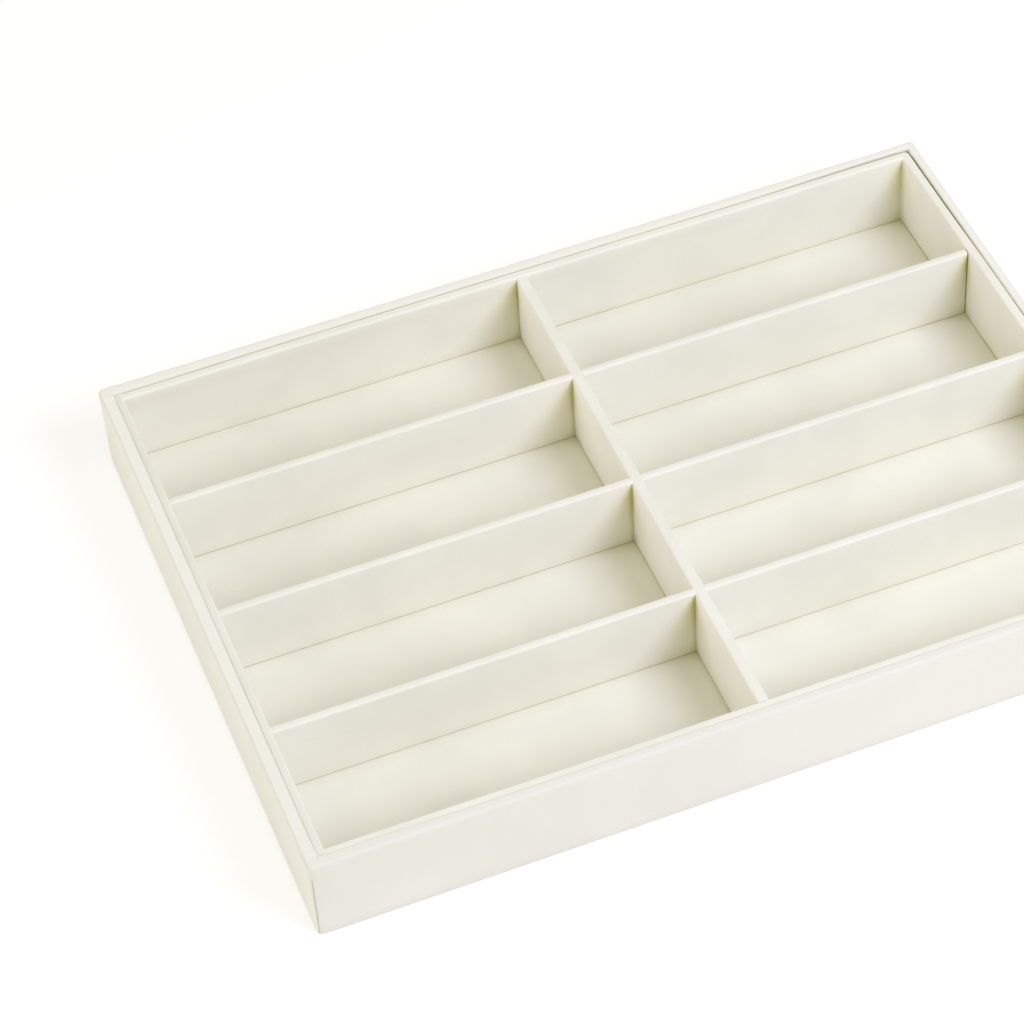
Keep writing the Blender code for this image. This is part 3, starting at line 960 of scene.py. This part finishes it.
def cut_across(shape, axis, place, way=1, **options):
    """Cut a shape by the plane at a place along an axis, and say what the cut touched."""
    spot, normal = Vector((0, 0, 0)), Vector((0, 0, 0))
    spot[axis], normal[axis] = place, way
    pieces = shape.verts[:] + shape.edges[:] + shape.faces[:]
    return bmesh.ops.bisect_plane(shape, geom=pieces, plane_co=spot, plane_no=normal, **options)


def bar_shape(low, high, radius, seed, bunches, pinches, pressed):
    """A bar with a round top and round ends, standing on a sharp-edged foot.

    Bunches are the places along the bar where it stands higher, and by how much.  Pinches
    are the places where its faces are drawn in, which starts a little below its top.  Pressed
    says for the near and the far end how much of its roundness is left.
    """
    shape = box_between(low, high)
    low, high = Vector(low), Vector(high)
    soft = [edge for edge in shape.edges if any(v.co.z > low.z + HAIR for v in edge.verts)]
    bmesh.ops.bevel(shape, geom=soft, offset=radius, offset_type="OFFSET", segments=BEND_STEPS,
                    profile=0.5, affect="EDGES")
    run = 0 if high.x - low.x > high.y - low.y else 1
    cuts = [(run, place) for place in
            np.arange(low[run] + BAR_STATION, high[run] - BAR_STATION / 2, BAR_STATION)]
    cuts += [(run, place + step) for place in pinches for step in PINCH_STEPS]
    cuts += [(2, low.z + (high.z - low.z - radius) * level / BAR_LEVELS)
             for level in range(1, BAR_LEVELS)]
    for axis, place in cuts:
        cut_across(shape, axis, place)
    shape.normal_update()
    shift = Vector((seed, 0, 0))
    moves = []
    for vert in shape.verts:
        wave = sum(amount * noise.noise(vert.co / size + shift) for size, amount in BAR_WAVES)
        footed = min(1.0, (vert.co.z - low.z) / BAR_FOOT)
        move = vert.normal * wave * footed
        crown = max(0.0, 1 - (high.z - vert.co.z) / radius)
        for place, rise in bunches:
            move.z += rise * crown * math.exp(-((vert.co[run] - place) / BUNCH_REACH) ** 2)
        below = smooth((high.z - PINCH_START - vert.co.z) / PINCH_START)
        for place in pinches:
            drawn_in = below * math.exp(-((vert.co[run] - place) / PINCH_REACH) ** 2)
            move[1 - run] -= PINCH_DEPTH * drawn_in * vert.normal[1 - run]
        from_near, from_far = vert.co[run] - low[run], high[run] - vert.co[run]
        if from_near < radius:
            move[run] -= from_near * (1 - pressed[0])
        if from_far < radius:
            move[run] += from_far * (1 - pressed[1])
        moves.append(move)
    for vert, move in zip(shape.verts, moves):
        vert.co += move
    return shape


# %% [markdown]
# Soft shapes are fitted to each other by cutting one with the other, which is what pressing
# two padded pieces together does.  The cut is exact, so that both keep closed skins.

# %% Cut one shape with another
def object_from(shape, name, finish=None):
    """Put a finished bmesh into the scene as a named object."""
    mesh = bpy.data.meshes.new(name)
    shape.to_mesh(mesh)
    shape.free()
    if finish:
        mesh.materials.append(finish)
    return put_in_scene(name, mesh)


def part_of(shape, level, upward):
    """What a solid has above a level, or below it, closed again along the cut."""
    cut = cut_across(shape, 2, level, 1 if upward else -1, clear_inner=True)
    rim = [item for item in cut["geom_cut"] if isinstance(item, bmesh.types.BMEdge)]
    bmesh.ops.edgeloop_fill(shape, edges=rim)
    bmesh.ops.recalc_face_normals(shape, faces=shape.faces)
    return shape


def carve(target, tools):
    """Cut each tool shape out of an object, and keep only the result."""
    for tool_shape in tools:
        tool = object_from(tool_shape, "carving_tool")
        carving = target.modifiers.new("carve", "BOOLEAN")
        carving.operation = "DIFFERENCE"
        carving.solver = "EXACT"
        carving.object = tool
        graph = bpy.context.evaluated_depsgraph_get()
        carved = bpy.data.meshes.new_from_object(target.evaluated_get(graph))
        target.modifiers.clear()
        spent = target.data
        target.data = carved
        bpy.data.meshes.remove(spent)
        bpy.data.objects.remove(tool)
    target.data.name = target.name
    return finish_mesh(target)


# %% [markdown]
# Each cross divider laps half and half with the centre divider: above the lap the centre
# divider runs through, and below it the cross divider does.  Each is cut with the other's
# own soft shape, so the cloth of the two meets without a gap, as padded pieces do.  Then
# the pocket for the board is cut out from below.

# %% Make the dividers
SLEEVE = 0.5 * MM
CENTRE_BEND = 1.2 * MM
CROSS_BEND = 0.95 * MM
CENTRE_BUNCH = 0.28 * MM
CROSS_BUNCH = 0.12 * MM
END_BUNCH = 0.45 * MM
NEAR_BUNCH = 0.2 * MM
END_REACH = 0.32 * MM
NEAR_REACH = 0.25 * MM
PRESSED_ENDS = (0.55, 0.3)
CENTRE_SEED, CROSS_SEED = 3.7, 5.1
NOTCH_PLAY = 0.2 * MM
SLOT_PLAY = 0.15 * MM
OUTSIDE_CUT = 2 * MM
SPREAD_CUT = 6 * MM
OVERCUT = 0.05 * MM

crosses = [corners_of(f"cross_divider_{number}_cover") for number in (1, 2, 3)]
crossings = [(low[1] + high[1]) / 2 for low, high in crosses]
lap_height = (centre_low[2] + centre_high[2]) / 2
notch_floor = lap_height - NOTCH_PLAY
slot_roof = lap_height + SLOT_PLAY


def centre_bar():
    """The centre divider's whole soft shape, with both ends pressed against the liner."""
    low = centre_low - np.array([0, NEAR_REACH, 0])
    high = centre_high + np.array([0, END_REACH, 0])
    bunches = [(place, CENTRE_BUNCH) for place in crossings]
    bunches += [(low[1], NEAR_BUNCH), (high[1], END_BUNCH)]
    return bar_shape(low, high, CENTRE_BEND, CENTRE_SEED, bunches, (high[1],), PRESSED_ENDS)


def cross_bar(number):
    """A cross divider's whole soft shape."""
    low, high = crosses[number - 1]
    low = low - np.array([NEAR_REACH, 0, 0])
    high = high + np.array([END_REACH, 0, 0])
    bunches = [(low[0], NEAR_BUNCH), (0.0, CROSS_BUNCH), (high[0], END_BUNCH)]
    pinches = (centre_low[0], centre_high[0], high[0])
    return bar_shape(low, high, CROSS_BEND, CROSS_SEED * number, bunches, pinches, PRESSED_ENDS)


centre_sleeve = object_from(centre_bar(), "suede_centre_divider", suede)
pocket_low = centre_low + np.array([SLEEVE, SLEEVE, -OUTSIDE_CUT])
carve(centre_sleeve, [box_between(pocket_low, centre_high - SLEEVE)]
      + [part_of(cross_bar(number), slot_roof, False) for number in (1, 2, 3)])
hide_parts("centre_divider_cover")

sleeves = [centre_sleeve]
for number, (low, high) in enumerate(crosses, start=1):
    inner = centre_high[0] + SLEEVE
    foot = low[2] - OUTSIDE_CUT
    sleeve = object_from(cross_bar(number), f"suede_cross_divider_{number}", suede)
    carve(sleeve, [
        part_of(centre_bar(), notch_floor, True),
        box_between((low[0] + SLEEVE, low[1] + SLEEVE, foot), (-inner, *(high[1:] - SLEEVE))),
        box_between((inner, low[1] + SLEEVE, foot), high - SLEEVE),
        box_between((-SPREAD_CUT, low[1] + SLEEVE, foot),
                    (SPREAD_CUT, high[1] - SLEEVE, notch_floor + OVERCUT)),
    ])
    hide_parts(f"cross_divider_{number}_cover")
    sleeves.append(sleeve)

for sleeve in sleeves:
    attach(sleeve, "grid")
    print(sleeve.name, len(sleeve.data.polygons), "faces")

# %% [markdown]
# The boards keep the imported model's shapes.  They are hidden until the tray is taken apart,
# and then they look like what they are: grey board pressed from waste paper, with flecks
# and a layered cut edge, a smoother card, and a paper sheet with a linen look underneath.

# %% Finishes of the boards
BOARD_COLOUR = (0.36, 0.33, 0.28)
CARD_COLOUR = (0.62, 0.58, 0.50)
SHEET_COLOUR = (0.70, 0.66, 0.56)
BOARD_CLOUD = 18 * MM
BOARD_FIBRE = 0.5 * MM
BOARD_ROUGHNESS = (0.84, 0.94)
DARK_FLECKS = (0.56, 0.70, 0, 0.8)
PALE_FLECKS = (0.60, 0.72, 0, 0.8)
SHEET_CLOUD = 40 * MM
SHEET_SHADES = (0.96, 1.04)
THREAD = 0.7 * MM
THREAD_RANGE = (0.45, 0.7, 0, 0.6)
THREAD_SHADE = 1.1
THREAD_DEPTH = 0.06 * MM


def make_pressed_board(name, colour, fleck_size, contrast, depth):
    """Board or card pressed from fibres, with lighter and darker flecks."""
    material, tree, shader, place = start_finish(name, colour, 0.9, Specular_IOR_Level=0.2)
    clouds = noise_layer(tree, place, BOARD_CLOUD)
    cloudy = drift_colour(tree, clouds, colour, (1 - contrast / 3, 1 + contrast / 3))
    dark = noise_layer(tree, place, fleck_size, stretch=(1, 0.5, 2.2))
    darker = blend(tree, spread(tree, dark, *DARK_FLECKS), cloudy, shade(colour, 1 - contrast))
    pale = noise_layer(tree, place, fleck_size * 0.7, stretch=(0.5, 1, 2.2), offset=0.7)
    flecked = blend(tree, spread(tree, pale, *PALE_FLECKS), darker, shade(colour, 1 + contrast))
    tree.links.new(flecked, shader.inputs["Base Color"])
    fibres = noise_layer(tree, place, BOARD_FIBRE, 4.0, stretch=(1, 0.4, 2))
    add_bump(tree, shader, fibres, depth, 0.6)
    rough = spread(tree, clouds, *CLOUD_RANGE, *BOARD_ROUGHNESS)
    tree.links.new(rough, shader.inputs["Roughness"])
    return material


def make_linen_paper():
    """Covering paper embossed with the threads of linen, one set across the other."""
    material, tree, shader, place = start_finish("linen_paper", SHEET_COLOUR, 0.82,
                                                 Specular_IOR_Level=0.25)
    cloudy = drift_colour(tree, noise_layer(tree, place, SHEET_CLOUD), SHEET_COLOUR,
                          SHEET_SHADES)
    warp = noise_layer(tree, place, THREAD, 2.0, stretch=(1, 0.06, 1))
    weft = noise_layer(tree, place, THREAD, 2.0, stretch=(0.06, 1, 1), offset=0.4)
    threads = add_node(tree, "ShaderNodeMath", (-600, -200), operation="MAXIMUM", in0=warp,
                       in1=weft).outputs[0]
    woven = blend(tree, spread(tree, threads, *THREAD_RANGE), cloudy,
                  shade(SHEET_COLOUR, THREAD_SHADE))
    tree.links.new(woven, shader.inputs["Base Color"])
    add_bump(tree, shader, threads, THREAD_DEPTH, 0.7)
    return material


greyboard = make_pressed_board("pressed_greyboard", BOARD_COLOUR, 1.6 * MM, 0.30, 0.08 * MM)
card = make_pressed_board("lining_card", CARD_COLOUR, 0.9 * MM, 0.12, 0.04 * MM)
linen_paper = make_linen_paper()
board_finishes = {"wall_board": greyboard, "base_board": greyboard, "divider": greyboard,
                  "liner_board": card, "floor_card": card, "base_sheet": linen_paper}
for name, node in sorted(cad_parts.items()):
    for word, finish in board_finishes.items():
        if word in name and not node.hide_render:
            node.data.materials.clear()
            node.data.materials.append(finish)
            print(name, "has", finish.name)
